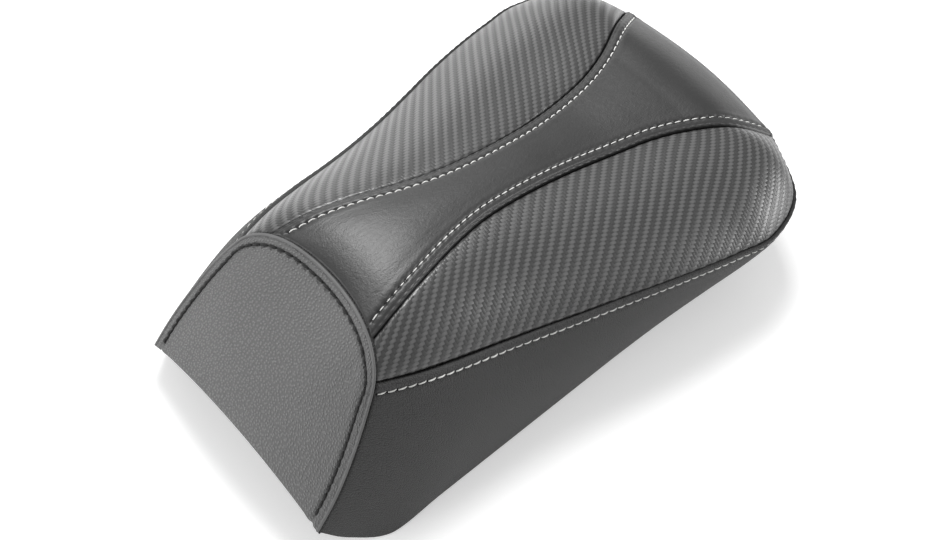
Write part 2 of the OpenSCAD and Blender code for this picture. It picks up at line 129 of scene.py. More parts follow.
class Tree:
    """A node tree that is written as expressions."""

    def __init__(self, tree):
        self.tree = tree
        tree.nodes.clear()

    def add(self, kind, settings=(), values=(), out=0):
        """Adds a node: its settings first, then its sockets' values or links. Gives one output."""
        node = self.tree.nodes.new(kind)
        for name, value in dict(settings).items():
            setattr(node, name, value)
        for key, value in dict(values).items():
            if isinstance(value, Link):
                self.tree.links.new(value.socket, node.inputs[key])
            else:
                node.inputs[key].default_value = value
        return Link(self, node.outputs[out])

    def mix(self, factor, a, b):
        """Colour a where factor is 0, b where it is 1."""
        return self.add("ShaderNodeMix", {"data_type": "RGBA"}, {0: factor, 6: a, 7: b}, out=2)

    def noise(self, where, scale, detail=3.0, rough=0.5, distortion=0.0):
        values = {"Vector": where, "Scale": scale, "Detail": detail}
        values.update({"Roughness": rough, "Distortion": distortion})
        return self.add("ShaderNodeTexNoise", values=values)

    def cells(self, where, scale, feature="F1", dimensions="3D", randomness=1.0):
        settings = {"feature": feature, "voronoi_dimensions": dimensions}
        values = {"Vector": where, "Scale": scale, "Randomness": randomness}
        return self.add("ShaderNodeTexVoronoi", settings, values)

    def stretched(self, where, scale, turn=(0, 0, 0)):
        return self.add("ShaderNodeMapping", values={"Vector": where, "Scale": scale, "Rotation": turn})


class Finish(Tree):
    """A material: a procedural base colour, roughness and relief on one Principled shader."""

    def __init__(self, name, **sockets):
        self.material = bpy.data.materials.new(name)
        self.material.use_nodes = True
        super().__init__(self.material.node_tree)
        self.shader = self.tree.nodes.new("ShaderNodeBsdfPrincipled")
        for key, value in sockets.items():
            self.shader.inputs[key.replace("_", " ")].default_value = value
        output = self.tree.nodes.new("ShaderNodeOutputMaterial")
        self.tree.links.new(self.shader.outputs[0], output.inputs[0])
        place = self.tree.nodes.new("ShaderNodeTexCoord")
        self.place = Link(self, place.outputs["Object"])
        self.uv = Link(self, place.outputs["UV"])

    def attribute(self, name):
        return self.add("ShaderNodeAttribute", {"attribute_name": name}, out="Fac")

    def set(self, key, link):
        self.tree.links.new(link.socket, self.shader.inputs[key])

    def bump(self, *layers):
        """Layers of (height in units of depth, depth in metres, weight), the finest last."""
        normal = None
        for height, depth, strength in layers:
            values = {"Height": height, "Distance": depth, "Strength": strength}
            if normal:
                values["Normal"] = normal
            normal = self.add("ShaderNodeBump", values=values)
        self.set("Normal", normal)


def grey(level):
    return (level, level, level, 1.0)


sweep = Finish("studio_paper", Roughness=0.9, Specular_IOR_Level=0.1, Emission_Strength=0.3)
sweep.shader.inputs["Emission Color"].default_value = grey(1.0)
mottle = sweep.noise(sweep.place, 3.0)
sweep.set("Base Color", sweep.mix(mottle, grey(0.93), grey(0.95)))
mesh = bpy.data.meshes.new("floor")
FLOOR_REACH = 6.0
mesh.from_pydata([(x, y, 0) for x, y in ((-1, -1), (1, -1), (1, 1), (-1, 1))], [], [(0, 1, 2, 3)])
mesh.transform(Matrix.Scale(FLOOR_REACH, 4))
mesh.materials.append(sweep.material)
floor = bpy.data.objects.new("floor", mesh)
scene.collection.objects.link(floor)

world = bpy.data.worlds.new("studio")
world.use_nodes = True
world.node_tree.nodes["Background"].inputs["Color"].default_value = grey(1.0)
world.node_tree.nodes["Background"].inputs["Strength"].default_value = 0.45
scene.world = world
scene.view_settings.view_transform = "Standard"

middle = (Vector(cad_box[0]) + Vector(cad_box[1])) / 2


def softbox(name, place, size, watts):
    """An area light that faces the pad."""
    data = bpy.data.lights.new(name, "AREA")
    data.shape = "RECTANGLE"
    data.size, data.size_y = size
    data.energy = watts
    light = bpy.data.objects.new(name, data)
    light.location = place
    light.rotation_euler = (middle - light.location).to_track_quat("-Z", "Y").to_euler()
    scene.collection.objects.link(light)


softbox("overhead_softbox", Vector((-0.27, 0.17, 0.76)), (0.36, 0.30), 5.5)
softbox("rear_softbox", Vector((0.95, 1.30, 0.42)), (0.8, 0.35), 9)
softbox("right_softbox", Vector((-1.5, 0.75, 0.35)), (1.0, 0.5), 3.5)
softbox("front_softbox", Vector((-0.6, -1.4, 0.5)), (1.2, 0.6), 13)


# ---- foam core and the shape of the pad ----
# One block of moulded polyurethane foam gives the pad its shape: high and narrow in front, low and
# wide behind, with a crown down the middle and a pillow on each side. Every cover panel lies on it,
# so the seams' lines are laid out here, and the cover is blown up against them once.


def rows(*points):
    return np.array(points, float) * MM


CROWN_LINE = rows((-117, 121.5), (-98, 125.5), (-76, 124.5), (-52, 120.5), (-28, 115.5), (-4, 110),
                  (20, 104.5), (45, 98.5), (71, 93.5), (96, 91), (121, 89), (147, 84.5), (181, 61))
UPPER_SEAM = rows((41.5, -124, 116.5), (36.5, -100, 121), (30.5, -76, 120), (24.5, -52, 116),
                  (20.3, -28, 111.5), (19, -4, 106.3), (19.2, 20, 100.8), (20.7, 45, 95), (24, 71, 90),
                  (28.8, 97, 87), (37, 121, 84.5), (49.5, 146, 80.5), (63, 173.5, 62))
LOWER_SEAM = rows((56.5, -133, 102.6), (64, -109, 98), (69.5, -84, 92.5), (74, -60, 87), (79, -36, 82),
                  (85, -11, 78), (91.5, 14, 75.5), (98.5, 40, 73), (104.5, 66, 69.5), (109.5, 93, 65),
                  (112.5, 122, 60.5), (100, 153, 60), (63, 173.5, 62))
HEM_X, HEM_Z = 92.6, 1
HEM_LINE = rows((74, -186, 24), (83, -171.5, 11), (HEM_X, -149, HEM_Z),
                *((HEM_X, y, HEM_Z) for y in (-115, -83, -51, -19, 13, 45, 75)),
                (91, 105, 2), (85, 136, 9), (68, 162, 28))
FRONT_EDGE = rows((56.5, -133, 102.6), (63.5, -146, 85), (69, -160, 63), (72.5, -173, 43), (74, -186, 24))
REAR_SEAM = rows((63, 173.5, 62), (67, 174, 51), (69, 170, 39), (68, 162, 28))
REAR_CROWN = rows((181, 61), (184, 54), (183, 46), (178, 40))
PANEL_PILLOW = rows(2.2, 3.5, 5, 6.5, 7.5, 8.5, 9, 9.5, 10, 10.5, 10.5, 7, 0)
SKIRT_PILLOW = rows(0, 4, 5, 4.5, 4, 3.5, 3, 2.8, 2.8, 3, 3, 3, 0)
STRIP_SQUARE = np.array((5, 3.5, 3, 2.5, 2.3, 2.2, 2.2, 2.2, 2.2, 2.3, 2.5, 2.6, 2.6))
FRONT_PILLOW = 3 * MM
ARCH_R = 183 * MM
STATIONS = len(UPPER_SEAM) - 1
REAR_STATIONS = len(REAR_SEAM) - 1
SIDES = {"left": 1, "right": -1}


def smooth(points, t):
    """A smooth curve through the points, with t counted in points."""
    last = len(points) - 1
    t = np.asarray(t, float)
    i = np.clip(np.floor(t).astype(int), 0, last - 1)
    ends = np.concatenate([[2 * points[0] - points[1]], points, [2 * points[-1] - points[-2]]])
    a, b, c, d = ends[i], ends[i + 1], ends[i + 2], ends[i + 3]
    f = (t - i).reshape(t.shape + (1,) * (points.ndim - 1))
    return 0.5 * (2 * b + (c - a) * f + (2 * a - 5 * b + 4 * c - d) * f**2 + (3 * b - a - 3 * c + d) * f**3)


def unit(v):
    return v / np.maximum(np.linalg.norm(v, axis=-1, keepdims=True), 1e-12)


def mix(a, b, t):
    return a * (1 - t) + b * t


def strip_at(u, v, side):
    """u in stations, then down the rear; v from the crown to the seam."""
    down = np.clip(u - STATIONS, 0, REAR_STATIONS)
    along = np.clip(u, 0, STATIONS)
    rear = (u > STATIONS)[..., None]
    crown = np.where(rear, smooth(REAR_CROWN, down), smooth(CROWN_LINE, along))
    seam = np.where(rear, smooth(REAR_SEAM, down), smooth(UPPER_SEAM, along))
    square = smooth(STRIP_SQUARE, along)
    y = mix(crown[..., 0], seam[..., 1], v**2)
    z = mix(crown[..., 1], seam[..., 2], v**square)
    return np.stack([seam[..., 0] * v * side, y, z], -1)


def panel_at(u, v, side):
    """v from the upper seam to the lower one."""
    a, b = smooth(UPPER_SEAM, u), smooth(LOWER_SEAM, u)
    across = np.stack([a[..., 2] - b[..., 2], 0 * u, b[..., 0] - a[..., 0]], -1)
    turn = np.clip((u - 9) / 3, 0, 1)[..., None]
    out = unit(unit(across) * (1 - turn) + np.array([0.45, 0.55, 0.7]) * turn)
    point = mix(a, b, v[..., None]) + out * (smooth(PANEL_PILLOW, u) * 4 * v * (1 - v))[..., None]
    return point * (side, 1, 1)


def skirt_at(u, v, side):
    """v from the lower seam to the hem."""
    a, b, w = smooth(LOWER_SEAM, u), smooth(HEM_LINE, u), (u / STATIONS)[..., None]
    deep = v[..., None]
    front = smooth(FRONT_EDGE, v * (len(FRONT_EDGE) - 1)) - mix(FRONT_EDGE[0], FRONT_EDGE[-1], deep)
    rear = smooth(REAR_SEAM, v * REAR_STATIONS) - mix(REAR_SEAM[0], REAR_SEAM[-1], deep)
    run = smooth(HEM_LINE, np.minimum(u + 0.05, STATIONS)) - smooth(HEM_LINE, np.maximum(u - 0.05, 0))
    out = unit(np.stack([run[..., 1], -run[..., 0], 0 * u], -1))
    pillow = smooth(SKIRT_PILLOW, u) * 2.6 * np.sqrt(v) * (1 - v)
    point = mix(a, b, deep) + front * (1 - w) ** 3 + rear * w**6 + out * pillow[..., None]
    point[..., 2] = np.maximum(point[..., 2], HEM_Z * MM)
    return point * (side, 1, 1)


def arch(x):
    """Height of the arch over the fender above its springing."""
    spring = FRONT_EDGE[-1][0]
    return np.sqrt(ARCH_R**2 - np.minimum(np.abs(x), spring) ** 2) - math.sqrt(ARCH_R**2 - spring**2)


def front_top(j, side):
    over_strip = strip_at(0 * j, np.clip(j, 0, 1), side)
    over_panel = panel_at(0 * j, np.clip(j - 1, 0, 1), side)
    return np.where((j > 1)[..., None], over_panel, over_strip)


def front_at(j, v, side):
    """j from the middle over the strip (1) and the side panel (2); v from the top to the hem."""
    deep, w = v[..., None], (j * j / 4)[..., None]
    foot_x = FRONT_EDGE[-1][0] * j / 2
    foot = np.stack([foot_x * side, FRONT_EDGE[-1][1] + 0 * j, FRONT_EDGE[-1][2] + arch(foot_x)], -1)
    edge = smooth(FRONT_EDGE, v * (len(FRONT_EDGE) - 1)) - mix(FRONT_EDGE[0], FRONT_EDGE[-1], deep)
    pillow = np.array([0, -0.77, 0.64]) * (FRONT_PILLOW * 4 * deep * (1 - deep) * (1 - w))
    return mix(front_top(j, side), foot, deep) + edge * w * (side, 1, 1) + pillow


def strip_all(u, v):
    """v runs over the full width, from the right seam (-1) to the left one (1)."""
    return strip_at(u, np.abs(v), np.where(v < 0, -1, 1))


def front_all(v, j):
    """j runs over the full width, from the right edge (-2) to the left one (2)."""
    point = front_at(np.abs(j), v, 1)
    point[..., 0] *= np.where(j < 0, -1, 1)
    return point


def spread(count, low, high):
    """count + 1 even places from low to high."""
    return low + (high - low) * np.linspace(0, 1, count + 1)


class Patch:
    """The stretch of the pad's skin that one cover panel takes: a surface over a grid of u and v."""

    def __init__(self, at, rough_u, rough_v, inside_out=False):
        self.at, self.rough_u, self.rough_v, self.inside_out = at, rough_u, rough_v, inside_out
        self.swelling = None

    def grid(self, us, vs):
        u, v = np.meshgrid(us, vs, indexing="ij")
        points = self.at(u, v)
        if self.swelling is not None:
            rows_at = np.interp(us, self.rough_u, np.arange(len(self.rough_u)))
            columns_at = np.interp(vs, self.rough_v, np.arange(len(self.rough_v)))
            by_row = smooth(self.swelling, rows_at)
            points = points + smooth(by_row.swapaxes(0, 1), columns_at).swapaxes(0, 1)
        return points

    def normals(self, points):
        across = np.gradient(points, axis=1)
        normal = np.cross(across, np.gradient(points, axis=0))
        length = np.linalg.norm(normal, axis=-1, keepdims=True)
        # where a row shrinks to a point, it takes its neighbour's normal
        flat = length[-1, :, 0] < 1e-10
        normal[-1, flat] = normal[-2, flat]
        return unit(normal) * (-1 if self.inside_out else 1)

    def faces(self, shape, first=0):
        """The grid's quads, wound to face outwards."""
        i, j = np.meshgrid(np.arange(shape[0] - 1), np.arange(shape[1] - 1), indexing="ij")
        a = (first + i * shape[1] + j).ravel()
        quads = np.stack([a, a + 1, a + shape[1] + 1, a + shape[1]], -1)
        return quads[:, ::-1] if self.inside_out else quads


ROUGH_U = np.linspace(0, STATIONS, 4 * STATIONS + 1)
ROUGH_DROP = np.linspace(0, 1, 17)
ROUGH_STRIP = np.linspace(0, 1, 7)
ROUGH_PANEL = np.linspace(0, 1, 13)
ROUGH_J = np.concatenate([ROUGH_STRIP, 1 + ROUGH_PANEL[1:]])


def mirrored(half):
    return np.concatenate([-half[:0:-1], half])


patches = {
    "strip": Patch(
        strip_all, np.concatenate([ROUGH_U, STATIONS + REAR_STATIONS * ROUGH_DROP[1:]]), mirrored(ROUGH_STRIP)
    ),
    "front": Patch(front_all, ROUGH_DROP, mirrored(ROUGH_J), inside_out=True),
}
for name, side in SIDES.items():
    patches[name + "_panel"] = Patch(lambda u, v, s=side: panel_at(u, v, s), ROUGH_U, ROUGH_PANEL, side < 0)
    patches[name + "_skirt"] = Patch(lambda u, v, s=side: skirt_at(u, v, s), ROUGH_U, ROUGH_DROP, side < 0)


def joined(grids, snap=0.05 * MM):
    """One mesh of all the grids, with the points along their shared seams merged."""
    points = np.concatenate([g.reshape(-1, 3) for g in grids.values()])
    _, first, merged = np.unique(np.round(points / snap), axis=0, return_index=True, return_inverse=True)
    merged = merged.reshape(-1)
    faces, start, on_edge = [], 0, []
    for name, g in grids.items():
        faces.append(patches[name].faces(g.shape[:2], start))
        edge = np.ones(g.shape[:2], bool)
        edge[1:-1, 1:-1] = False
        on_edge.append(edge.ravel())
        start += edge.size
    quads = merged[np.concatenate(faces)]
    corners = [list(dict.fromkeys(q)) for q in quads.tolist()]
    pinned = np.zeros(len(first), bool)
    pinned[merged[np.concatenate(on_edge)]] = True
    return points[first], [q for q in corners if len(q) > 2], merged, pinned


PRESSURE = 25
LARGEST_SWELL = 1.8 * MM


def blown_up(points, faces, pinned):
    """Cloth held along its seams and blown up from inside for 20 frames."""
    mesh = bpy.data.meshes.new("blown_cover")
    mesh.from_pydata(points.tolist(), [], faces)
    cover = bpy.data.objects.new("blown_cover", mesh)
    scene.collection.objects.link(cover)
    seams = cover.vertex_groups.new(name="seams")
    seams.add(np.flatnonzero(pinned).tolist(), 1.0, "REPLACE")
    cloth = cover.modifiers.new("cloth", "CLOTH")
    cloth.settings.quality = 6
    cloth.settings.mass = 0.4
    cloth.settings.tension_stiffness = cloth.settings.compression_stiffness = 12
    cloth.settings.shear_stiffness = 6
    cloth.settings.bending_stiffness = 1.5
    cloth.settings.vertex_group_mass = "seams"
    cloth.settings.use_pressure = True
    cloth.settings.uniform_pressure_force = PRESSURE
    cloth.settings.effector_weights.gravity = 0
    cloth.collision_settings.use_collision = False
    cloth.point_cache.frame_start, cloth.point_cache.frame_end = 1, 20
    for frame_number in range(1, 21):
        scene.frame_set(frame_number)
    settled = cover.evaluated_get(bpy.context.evaluated_depsgraph_get()).to_mesh()
    after = np.empty(3 * len(settled.vertices))
    settled.vertices.foreach_get("co", after)
    scene.frame_set(1)
    bpy.data.objects.remove(cover)
    return after.reshape(-1, 3)


rough = {name: patch.grid(patch.rough_u, patch.rough_v) for name, patch in patches.items()}
points, faces, merged, pinned = joined(rough)
swell = blown_up(points, faces, pinned) - points
size = np.linalg.norm(swell, axis=-1, keepdims=True)
swell *= LARGEST_SWELL * np.tanh(size / LARGEST_SWELL) / np.maximum(size, 1e-12)
swell[pinned] = 0
print("largest swell, mm", round(float(size.max() / MM), 2), "cover points", len(points))
start = 0
for name, g in rough.items():
    count = g.shape[0] * g.shape[1]
    patches[name].swelling = swell[merged[start:start + count]].reshape(g.shape)
    start += count


def mesh_object(name, points, faces, material):
    mesh = bpy.data.meshes.new(name)
    mesh.from_pydata([tuple(p) for p in points], [], faces)
    mesh.polygons.foreach_set("use_smooth", np.ones(len(mesh.polygons), bool))
    mesh.materials.append(material)
    made = bpy.data.objects.new(name, mesh)
    scene.collection.objects.link(made)
    return made


FOAM_CELL = 0.9 * MM
FOAM_CLEAR = 4.5 * MM
foam = Finish("moulded_foam", Roughness=0.85, Specular_IOR_Level=0.3)
bubbles = foam.cells(foam.place, 1 / FOAM_CELL, "SMOOTH_F1")
patchy = foam.noise(foam.place, 45)
foam.set("Base Color", foam.mix(patchy, (0.62, 0.53, 0.33, 1), (0.74, 0.66, 0.46, 1)))
foam.bump((foam.noise(foam.place, 60), 1.2 * MM, 0.4), (bubbles, 0.4 * MM, 0.8))

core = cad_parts["foam_core"]
shape = bmesh.new()
shape.from_mesh(core.data)
bmesh.ops.remove_doubles(shape, verts=shape.verts, dist=0.01 * MM)
mesh = bpy.data.meshes.new("foam_block")
shape.to_mesh(mesh)
shape.free()
foam_block = bpy.data.objects.new("foam_block", mesh)
scene.collection.objects.link(foam_block)
remesh = foam_block.modifiers.new("even_mesh", "REMESH")
remesh.mode = "VOXEL"
remesh.voxel_size = 4 * MM
soften = foam_block.modifiers.new("soften", "SMOOTH")
soften.factor = 0.5
soften.iterations = 4
plain = bpy.data.meshes.new_from_object(foam_block.evaluated_get(bpy.context.evaluated_depsgraph_get()))
foam_block.modifiers.clear()
foam_block.data = plain
plain.materials.clear()
plain.materials.append(foam.material)
plain.polygons.foreach_set("use_smooth", np.ones(len(plain.polygons), bool))
# the block stands clear of the cover, so that it doesn't show in the seams
inwards = [vertex.normal * -FOAM_CLEAR for vertex in plain.vertices]
for vertex, step in zip(plain.vertices, inwards):
    vertex.co += step
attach(foam_block, "root")
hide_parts("foam_core")


# ---- seams ----
# The panels are sewn face to face. On one side of each seam the spare vinyl is folded under and
# stitched down, which leaves a raised band, and on the other side the panel dives into the seam.

PITCH = 5.6 * MM
STITCH_IN = 6.2 * MM
ROW_EASE = 8 * MM
SEAM_STEP = 0.5 * MM


class Seam:
    """A fine line on the cover. It tells how far off a point is, and how far along."""

    def __init__(self, points):
        length = np.concatenate([[0], np.cumsum(np.linalg.norm(np.diff(points, axis=0), axis=-1))])
        self.made_at = length
        count = max(2, int(length[-1] / SEAM_STEP))
        self.along = np.linspace(0, length[-1], count + 1)
        self.points = np.stack([np.interp(self.along, length, points[:, k]) for k in range(3)], -1)
        self.heading = unit(np.gradient(self.points, axis=0))
        self.length = length[-1]
        # the nearest whole number of stitches
        self.stitches = max(1, round(self.length / PITCH))
        self.pitch = self.length / self.stitches
        self.tree = KDTree(len(self.points))
        for k, point in enumerate(self.points.tolist()):
            self.tree.insert(point, k)
        self.tree.balance()

    def normals(self, ups):
        """Normals along the line, for one given at each point it was made from."""
        return unit(np.stack([np.interp(self.along, self.made_at, ups[:, k]) for k in range(3)], -1))

    def near(self, points):
        """Distance from the line, and place along it."""
        flat = points.reshape(-1, 3)
        find = self.tree.find
        nearest = np.fromiter((find(p)[1] for p in flat.tolist()), int, len(flat))
        offset = flat - self.points[nearest]
        ahead = (offset * self.heading[nearest]).sum(-1)
        off = np.linalg.norm(offset - ahead[:, None] * self.heading[nearest], axis=-1)
        # past an end, the distance is to the end itself
        past = ((nearest == 0) & (ahead < 0)) | ((nearest == len(self.points) - 1) & (ahead > 0))
        off = np.where(past, np.linalg.norm(offset, axis=-1), off)
        return off.reshape(points.shape[:-1]), (self.along[nearest] + ahead).reshape(points.shape[:-1])


FINE = 40
ALONG = np.linspace(0, STATIONS, STATIONS * FINE + 1)
DOWN = np.linspace(0, 1, 4 * FINE + 1)
half_edge = np.concatenate([
    front_at(2 + 0 * DOWN, DOWN, 1)[:0:-1],
    front_at(spread(4 * FINE, 2, 0), np.zeros(4 * FINE + 1), 1),
])
front_line = np.concatenate([half_edge, half_edge[-2::-1] * (-1, 1, 1)])
front_seam = Seam(front_line)
upper_seams, lower_seams, rear_seams = {}, {}, {}
REAR = STATIONS + REAR_STATIONS * DOWN[1:]
for name, side in SIDES.items():
    strip_edge = strip_at(np.concatenate([ALONG, REAR]), np.ones(len(ALONG) + len(REAR)), side)
    upper_seams[name] = Seam(strip_edge)
    lower_seams[name] = Seam(skirt_at(ALONG, 0 * ALONG, side))
    rear_seams[name] = Seam(skirt_at(STATIONS + 0 * DOWN, DOWN, side))


class Cover:
    """A cover panel in the making: its fine grid, and the relief that its seams give it."""

    def __init__(self, patch, us, vs, hem_axis=None):
        self.patch = patches[patch]
        self.base = self.patch.grid(us, vs)
        self.normal = self.patch.normals(self.base)
        if hem_axis is not None:
            self.turn_under(hem_axis)
        self.shape = self.base.shape[:2]
        self.quads = self.patch.faces(self.shape)
        self.height = np.zeros(self.shape)
        self.edge = np.full(self.shape, 1.0)
        self.row = np.full(self.shape, 1.0)
        self.stitch = np.zeros(self.shape)
        self.surface = BVHTree.FromPolygons(self.base.reshape(-1, 3).tolist(), self.quads.tolist())

    def turn_under(self, axis, radius=1.0 * MM, reach=3.0 * MM):
        """Carries the panel round under its hem, on more rows past the last one."""
        base, normal = self.base.swapaxes(0, axis), self.normal.swapaxes(0, axis)
        down, out = unit(base[-1] - base[-4]), normal[-1]
        out = unit(out - down * (out * down).sum(-1, keepdims=True))
        more, ups = [], []
        for k in range(1, HEM_ROWS + 1):
            turn = min(1, k / (HEM_ROWS - 3)) * math.pi / 2
            flat = max(0, k - (HEM_ROWS - 3)) / 3 * reach
            inward = radius * (1 - math.cos(turn)) + flat
            more.append(base[-1] + down * radius * math.sin(turn) - out * inward)
            ups.append(out * math.cos(turn) + down * math.sin(turn))
        self.base = np.concatenate([base, more]).swapaxes(0, axis)
        self.normal = np.concatenate([normal, ups]).swapaxes(0, axis)

    def inside(self, seam, distance, turn):
        """The line that runs distance inside the seam, laid on the panel, with the normals along it."""
        points, ups = [], []
        for point, heading in zip(seam.points, seam.heading):
            up = self.surface.find_nearest(point)[1]
            across = Vector(heading).cross(up) * turn
            place, up, _, _ = self.surface.find_nearest(Vector(point) + distance * across.normalized())
            points.append(place)
            ups.append(up)
        width = 2 * int(ROW_EASE / SEAM_STEP) + 1
        return eased(np.array(points), width), unit(eased(np.array(ups), width))

    def dive(self, seam, depth=1.9 * MM, radius=2.2 * MM):
        """Turns the panel down into a seam, over a rounded shoulder."""
        off, _ = seam.near(self.base)
        in_roll = np.clip(1 - off / radius, 0, 1)
        self.height -= depth * (1 - np.sqrt(1 - in_roll**2)) + PULL * np.exp(-off / PULL_REACH)
        self.edge = np.minimum(self.edge, off)

    def band(self, seam, turn, swell=0.55 * MM):
        """Raises the folded band along a seam and sinks its stitch row. Gives the row's line."""
        off, _ = seam.near(self.base)
        points, ups = self.inside(seam, STITCH_IN, turn)
        row = Seam(points)
        beside, along = row.near(self.base)
        stitch = along / row.pitch
        from_hole = ((stitch + 0.5) % 1 - 0.5) * row.pitch
        wave = np.cos(2 * math.pi * stitch)
        # the fold's rounded edge, and the flat top between the edge and the row
        roll = np.clip(1 - off / FOLD_ROUND, 0, 1)
        rise = np.clip(off / BAND_SLOPE, 0, 1)
        fall = np.clip((STITCH_IN + 0.2 * MM - off) / BAND_SLOPE, 0, 1)
        self.height -= FOLD_DEPTH * (1 - np.sqrt(1 - roll**2))
        self.height += swell * np.sin(rise * math.pi / 2) * np.sin(fall * math.pi / 2)
        # the row's valley, its needle holes, and the puckers between them
        self.height -= 0.5 * MM * bell(beside, 0.95 * MM)
        self.height -= 0.7 * MM * bell(beside, 0.75 * MM) * bell(from_hole, 0.95 * MM)
        self.height -= 0.10 * MM * wave * bell(beside, 2.4 * MM)
        # the swell past the row, then the seam's own stitches and the crease along the fold
        self.height += 0.22 * MM * bell(off - STITCH_IN - 3 * MM, 2 * MM)
        self.height += 0.20 * MM * wave * bell(off - 1.2 * MM, 0.6 * MM)
        self.height -= 0.32 * MM * bell(off - 2.2 * MM, 0.45 * MM)
        self.edge = np.minimum(self.edge, off)
        nearer = beside < self.row
        self.row = np.where(nearer, beside, self.row)
        self.stitch = np.where(nearer, stitch, self.stitch)
        return row, ups

    def laid(self, row, ups, lift):
        """A stitch row's line, on the relief and lift above it."""
        height = self.height.ravel()
        under = [height[self.quads[self.surface.find_nearest(p)[2]][0]] for p in row.points.tolist()]
        level = eased(np.array(under)[:, None], 2 * int(row.pitch / SEAM_STEP) + 1)
        ups = row.normals(ups)
        return row.points + ups * (level + lift), ups

    def lengths(self, axis):
        """Distance along the surface from its middle, on the grid's lines along the axis."""
        steps = np.linalg.norm(np.diff(self.base, axis=axis), axis=-1)
        lengths = np.concatenate([np.zeros_like(np.take(steps, [0], axis)), np.cumsum(steps, axis)], axis)
        return lengths - np.take(lengths, [lengths.shape[axis] // 2], axis)

    def piece(self, name, finish, uv):
        """The closed sheet: the shown face, a coarser back of knitted cloth, and the rim between."""
        rise = self.height[..., None] * self.normal
        shown = self.base + rise
        # the seam allowance reaches under the neighbour
        for axis in (0, 1):
            lines, flat = shown.swapaxes(0, axis), self.base.swapaxes(0, axis)
            for end, next_to in ((0, 1), (-1, -2)):
                lines[end] += unit(flat[end] - flat[next_to]) * ALLOWANCE
        back = (shown - SHEET * self.normal)[::COARSE, ::COARSE]
        if np.ptp(self.base[-1], axis=0).max() < 0.01 * MM:
            shown[-1], back[-1] = shown[-1].mean(0), back[-1].mean(0)
        for face in (shown, back):
            face[..., 2] = np.maximum(face[..., 2], FOOT)
        columns_back = back.shape[1]
        first = shown.shape[0] * shown.shape[1]
        back_quads = self.patch.faces(back.shape[:2], first)[:, ::-1]
        last_row, last_column = self.shape[0] - 1, self.shape[1] - 1
        walk = [(0, j) for j in range(last_column)]
        walk += [(i, last_column) for i in range(last_row)]
        walk += [(last_row, j) for j in range(last_column, 0, -1)]
        walk += [(i, 0) for i in range(last_row, 0, -1)]
        rim = []
        for k, (i, j) in enumerate(walk):
            next_i, next_j = walk[(k + 1) % len(walk)]
            here, ahead = i * self.shape[1] + j, next_i * self.shape[1] + next_j
            corner = walk[k - k % COARSE]
            behind = first + corner[0] // COARSE * columns_back + corner[1] // COARSE
            rim.append((ahead, here, behind))
            if k % COARSE == COARSE - 1:
                corner = walk[(k + 1) % len(walk)]
                next_behind = first + corner[0] // COARSE * columns_back + corner[1] // COARSE
                rim.append((ahead, behind, next_behind))
        if self.patch.inside_out:
            rim = [face[::-1] for face in rim]
        faces = self.quads.tolist() + back_quads.tolist() + rim
        points = np.concatenate([shown.reshape(-1, 3), back.reshape(-1, 3)])
        made = mesh_object(name, points, faces, finish.material)
        mesh = made.data
        mesh.materials.append(backing.material)
        on_back = np.zeros(len(faces), np.int32)
        on_back[len(self.quads):len(self.quads) + len(back_quads)] = 1
        mesh.polygons.foreach_set("material_index", on_back)
        corners = np.empty(len(mesh.loops), np.int32)
        mesh.loops.foreach_get("vertex_index", corners)
        mesh.uv_layers.new(name="cut").data.foreach_set("uv", both_faces(uv)[corners].ravel())
        for label in ("edge", "row", "stitch"):
            values = both_faces(getattr(self, label)).ravel()
            mesh.attributes.new(label, "FLOAT", "POINT").data.foreach_set("value", values)
        shape = bmesh.new()
        shape.from_mesh(mesh)
        bmesh.ops.remove_doubles(shape, verts=shape.verts, dist=0.001 * MM)
        shape.to_mesh(mesh)
        shape.free()
        return made


def eased(values, width):
    """A running mean that keeps both ends in place."""
    pad = width // 2
    values = np.pad(values, ((pad, pad), (0, 0)), "reflect", reflect_type="odd")
    return np.stack([np.convolve(column, np.ones(width) / width, "valid") for column in values.T], -1)


def both_faces(values):
    """Values for the shown face's points, then for the back's."""
    depth = values[0, 0].size
    return np.concatenate([values.reshape(-1, depth), values[::COARSE, ::COARSE].reshape(-1, depth)])


def bell(distance, width):
    return np.exp(-((distance / width) ** 2))


PULL, PULL_REACH = 0.5 * MM, 4 * MM
FOLD_ROUND, FOLD_DEPTH = 1.2 * MM, 1.7 * MM
BAND_SLOPE = 1.6 * MM
HEM_ROWS = 8
FOOT = 0.1 * MM
SHEET = 1.2 * MM
COARSE = 4
ALLOWANCE = 0.7 * MM

backing = Finish("knitted_backing", Roughness=0.95, Specular_IOR_Level=0.1)
knit = backing.cells(backing.place, 1 / (0.8 * MM), "SMOOTH_F1")
backing.set("Base Color", backing.mix(knit, grey(0.30), grey(0.42)))
backing.bump((knit, 0.2 * MM, 0.6))


class Vinyl(Finish):
    """A vinyl face, with painted shade: its colour goes near black in the seams' grooves and in the needle
    holes of its stitch row.
    """

    def paint(self, colour, hole_long=1.15 * MM, hole_wide=0.75 * MM):
        # painted shade: near black where the panel dives into a seam and in each needle hole
        shade = self.attribute("edge").rise(0.2 * MM, 1.1 * MM)
        stitch = self.attribute("stitch")
        along = ((stitch + 0.5) % 1 - 0.5) * PITCH / hole_long
        across = self.attribute("row") / hole_wide
        hole_shade = (along * along + across * across).rise(0.55, 1.25)
        self.set("Base Color", self.mix(shade * hole_shade, grey(0.004), colour))


# ---- centre strip ----
# Smooth leather-look vinyl, one piece from the front panel over the crown and down the rear. Its
# edges are folded under along both seams and stitched down with white thread.

